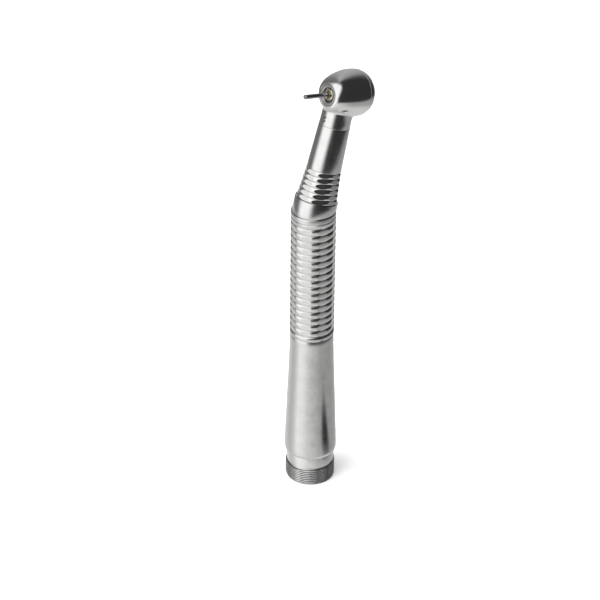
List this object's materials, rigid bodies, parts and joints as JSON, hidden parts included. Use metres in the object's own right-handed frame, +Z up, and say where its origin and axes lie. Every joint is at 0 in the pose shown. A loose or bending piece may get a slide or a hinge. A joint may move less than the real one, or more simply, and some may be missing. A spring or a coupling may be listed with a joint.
{
  "type": "dental air-turbine handpiece",
  "caption": "Slim metal dental handpiece with a threaded four-hole hose end, ribbed grip, bent polished neck and a rounded turbine head holding a bur blank.",
  "frame": {"origin": "centre of the hose seat, the flat four-hole face recessed inside the threaded end", "axes": "+Z up the straight handle towards the head; the neck leans towards +Y and the bur points towards -Y; +X completes a right-handed frame and is square to the plane of the bend"},
  "size_m": [0.0134, 0.0229, 0.1143],
  "materials": {
    "satin_plate": "satin chrome plate over brass, fine turned grain",
    "polished_plate": "polished chrome plate with faint turning and handling scratches",
    "connector_steel": "fine-cut machined steel, bright on the crests",
    "tube_steel": "drawn stainless tube",
    "bearing_steel": "ground bearing steel",
    "ball_cage": "steel balls in a phenolic cage, one solid here",
    "impeller_metal": "clear anodised",
    "collet_brass": "turned, lightly polished",
    "bur_steel": "dark ground tool steel",
    "seal_rubber": "matt black elastomer"
  },
  "bodies": {
    "root": {"rear_connector": "connector_steel", "connector_block": "connector_steel", "grip_sleeve": "satin_plate", "neck_tube": "polished_plate", "polished_band": "polished_plate", "drive_air_tube": "tube_steel", "chip_air_tube": "tube_steel", "water_tube": "tube_steel", "head_housing": "polished_plate", "water_nozzle": "tube_steel", "chip_air_nozzle": "tube_steel", "front_bearing_outer_race": "bearing_steel", "front_cushion_ring": "seal_rubber", "rear_bearing_outer_race": "bearing_steel"},
    "rotor": {"rotor_spindle": "bearing_steel", "impeller": "impeller_metal", "front_bearing_inner_race": "bearing_steel", "rear_bearing_inner_race": "bearing_steel"},
    "front_balls": {"front_bearing_balls": "ball_cage"},
    "rear_balls": {"rear_bearing_balls": "ball_cage"},
    "collet": {"chuck_collet": "collet_brass"},
    "screw": {"chuck_screw": "bearing_steel"},
    "bur_body": {"bur": "bur_steel"},
    "cap_carrier": {"cap_seal": "seal_rubber", "rear_cushion_ring": "seal_rubber", "preload_washer": "bearing_steel"},
    "cap": {"back_cap": "polished_plate"}
  },
  "joints": [
    {"name": "turbine_spin", "type": "hinge", "parent": "root", "child": "rotor", "pos_m": [0, 0.00849, 0.10446], "axis": [0, -0.97, 0.2429], "continuous": true},
    {"name": "front_cage_orbit", "type": "hinge", "parent": "root", "child": "front_balls", "pos_m": [0, 0.00849, 0.10446], "axis": [0, -0.97, 0.2429], "continuous": true},
    {"name": "rear_cage_orbit", "type": "hinge", "parent": "root", "child": "rear_balls", "pos_m": [0, 0.00849, 0.10446], "axis": [0, -0.97, 0.2429], "continuous": true},
    {"name": "chuck_screw_turn", "type": "hinge", "parent": "rotor", "child": "screw", "pos_m": [0, 0.00849, 0.10446], "axis": [0, 0.97, -0.2429], "range_deg": [0, 270]},
    {"name": "collet_travel", "type": "slide", "parent": "rotor", "child": "collet", "axis": [0, -0.97, 0.2429], "range_m": [0, 0.00015]},
    {"name": "bur_travel", "type": "slide", "parent": "rotor", "child": "bur_body", "axis": [0, -0.97, 0.2429], "range_m": [0, 0.008]},
    {"name": "cap_travel", "type": "slide", "parent": "root", "child": "cap_carrier", "axis": [0, 0.97, -0.2429], "range_m": [0, 0.0015]},
    {"name": "cap_turn", "type": "hinge", "parent": "cap_carrier", "child": "cap", "pos_m": [0, 0.00849, 0.10446], "axis": [0, 0.97, -0.2429], "range_deg": [0, 1080]}
  ],
  "couplings": [
    {"joint": "front_cage_orbit", "follows": "turbine_spin", "ratio": 0.404},
    {"joint": "rear_cage_orbit", "follows": "turbine_spin", "ratio": 0.404},
    {"joint": "chuck_screw_turn", "follows": "collet_travel", "rad_per_m": 31415},
    {"joint": "cap_turn", "follows": "cap_travel", "rad_per_m": 12566}
  ]
}
